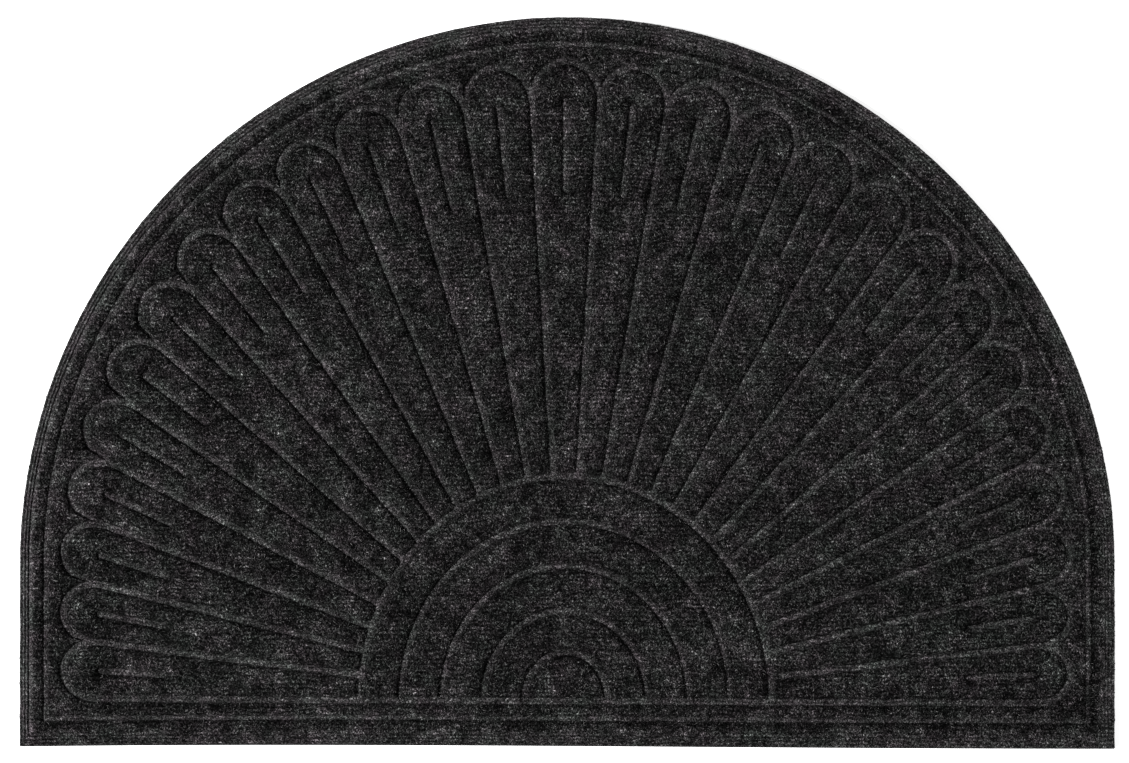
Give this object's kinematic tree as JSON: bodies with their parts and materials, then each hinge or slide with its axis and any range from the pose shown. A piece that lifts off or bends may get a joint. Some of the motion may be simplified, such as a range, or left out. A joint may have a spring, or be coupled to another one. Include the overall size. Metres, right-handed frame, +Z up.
{
  "type": "half round doormat",
  "caption": "Flat half round doormat: a fibre face with a pressed fan of petals and half-oval grooves, on a thin rubber backing.",
  "frame": {"origin": "middle of the bounding box, on the floor that the mat lies on", "axes": "+X along the straight edge, +Y from the straight edge to the arc, +Z up"},
  "size_m": [0.9144, 0.6096, 0.008],
  "materials": {
    "carpet": "charcoal needle-punched fibre with light grey flecks, matte",
    "backing": "black rubber, matte"
  },
  "bodies": {
    "root": {"carpet_face": "carpet", "rubber_backing": "backing"}
  },
  "joints": []
}
